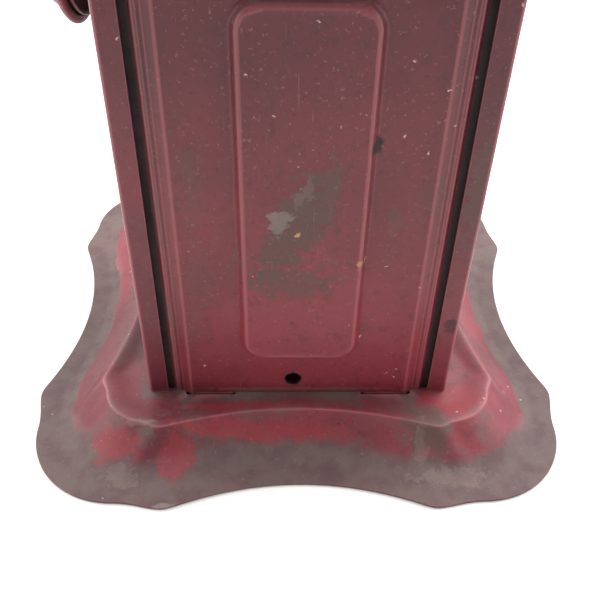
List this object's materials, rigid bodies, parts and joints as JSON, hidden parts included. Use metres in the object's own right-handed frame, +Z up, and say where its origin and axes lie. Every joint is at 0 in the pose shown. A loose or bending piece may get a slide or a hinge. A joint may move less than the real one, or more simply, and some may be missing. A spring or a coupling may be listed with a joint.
{
  "type": "magic lantern",
  "caption": "Toy magic lantern: square lamp house with lift-up door, scalloped base, round chimney, slide stage, focusing lens tube and oil lamp.",
  "frame": {"origin": "middle of the whole object's box, on the surface it stands on", "axes": "+Z up; -Y out of the lift-up door; -X along the beam, out of the lens"},
  "size_m": [0.151, 0.12, 0.2497],
  "materials": {
    "red_tin": "worn dark red lacquer on tinplate",
    "raw_tin": "dull bare tinplate",
    "brass": "aged brass",
    "lens_glass": "clear ground glass lens",
    "lamp_glass": "thin blown glass",
    "silver": "silvered reflector",
    "spring_steel": "spring wire and strip",
    "cotton": "woven cotton wick"
  },
  "bodies": {
    "housing": {"base_plate": "red_tin", "body_wrap": "red_tin", "guide_rail_left": "raw_tin", "guide_rail_right": "raw_tin", "roof": "red_tin", "condenser_cell": "brass", "condenser_lens": "lens_glass", "condenser_wire": "spring_steel", "stage_drum": "red_tin", "stage_rivet_1": "brass", "stage_rivet_2": "brass", "stage_rivet_3": "brass", "stage_rivet_4": "brass", "lens_collar": "red_tin", "lens_sleeve": "brass"},
    "door_body": {"door": "red_tin"},
    "chimney_body": {"chimney_tube": "red_tin", "chimney_cowl": "red_tin", "cowl_cap": "red_tin", "chimney_baffle": "raw_tin"},
    "objective": {"draw_tube": "brass", "objective_lens": "lens_glass", "objective_bezel": "brass", "objective_wire": "spring_steel"},
    "upper_spring": {"slide_spring_upper": "spring_steel"},
    "lower_spring": {"slide_spring_lower": "spring_steel"},
    "lamp": {"lamp_font": "raw_tin", "lamp_handle": "raw_tin", "burner": "brass", "lamp_gallery": "brass", "reflector": "silver", "reflector_bracket": "raw_tin"},
    "winder": {"winder_shaft": "brass", "winder_knob": "brass"},
    "wick_body": {"wick": "cotton"},
    "glass_body": {"lamp_glass": "lamp_glass"},
    "filler_body": {"filler_cap": "brass"}
  },
  "joints": [
    {"name": "door_lift", "type": "slide", "parent": "housing", "child": "door_body", "axis": [0, 0, 1], "range_m": [0, 0.11]},
    {"name": "chimney_lift", "type": "slide", "parent": "housing", "child": "chimney_body", "axis": [0, 0, 1], "range_m": [0, 0.03]},
    {"name": "focus_slide", "type": "slide", "parent": "housing", "child": "objective", "axis": [-1, 0, 0], "range_m": [-0.01, 0.01]},
    {"name": "upper_spring_press", "type": "hinge", "parent": "housing", "child": "upper_spring", "pos_m": [-0.01845, 0.00815, 0.1159], "axis": [0, 0, 1], "range_deg": [0, 8.5], "stiffness_Nm_per_rad": 0.004},
    {"name": "lower_spring_press", "type": "hinge", "parent": "housing", "child": "lower_spring", "pos_m": [-0.01845, 0.00815, 0.0841], "axis": [0, 0, 1], "range_deg": [0, 8.5], "stiffness_Nm_per_rad": 0.004},
    {"name": "lamp_shift", "type": "slide", "parent": "housing", "child": "lamp", "axis": [1, 0, 0], "range_m": [-0.004, 0.004]},
    {"name": "wick_winder", "type": "hinge", "parent": "lamp", "child": "winder", "pos_m": [0.0187, 0, 0.0575], "axis": [0, -1, 0], "range_deg": [-90, 90]},
    {"name": "wick_feed", "type": "slide", "parent": "lamp", "child": "wick_body", "axis": [0, 0, 1], "range_m": [-0.003, 0.003]},
    {"name": "glass_lift", "type": "slide", "parent": "lamp", "child": "glass_body", "axis": [0, 0, 1], "range_m": [0, 0.05]},
    {"name": "filler_pull", "type": "slide", "parent": "lamp", "child": "filler_body", "axis": [0, 0, 1], "range_m": [0, 0.004]}
  ],
  "couplings": [
    {"joint": "wick_winder", "follows": "wick_feed", "rad_per_m": 500}
  ]
}
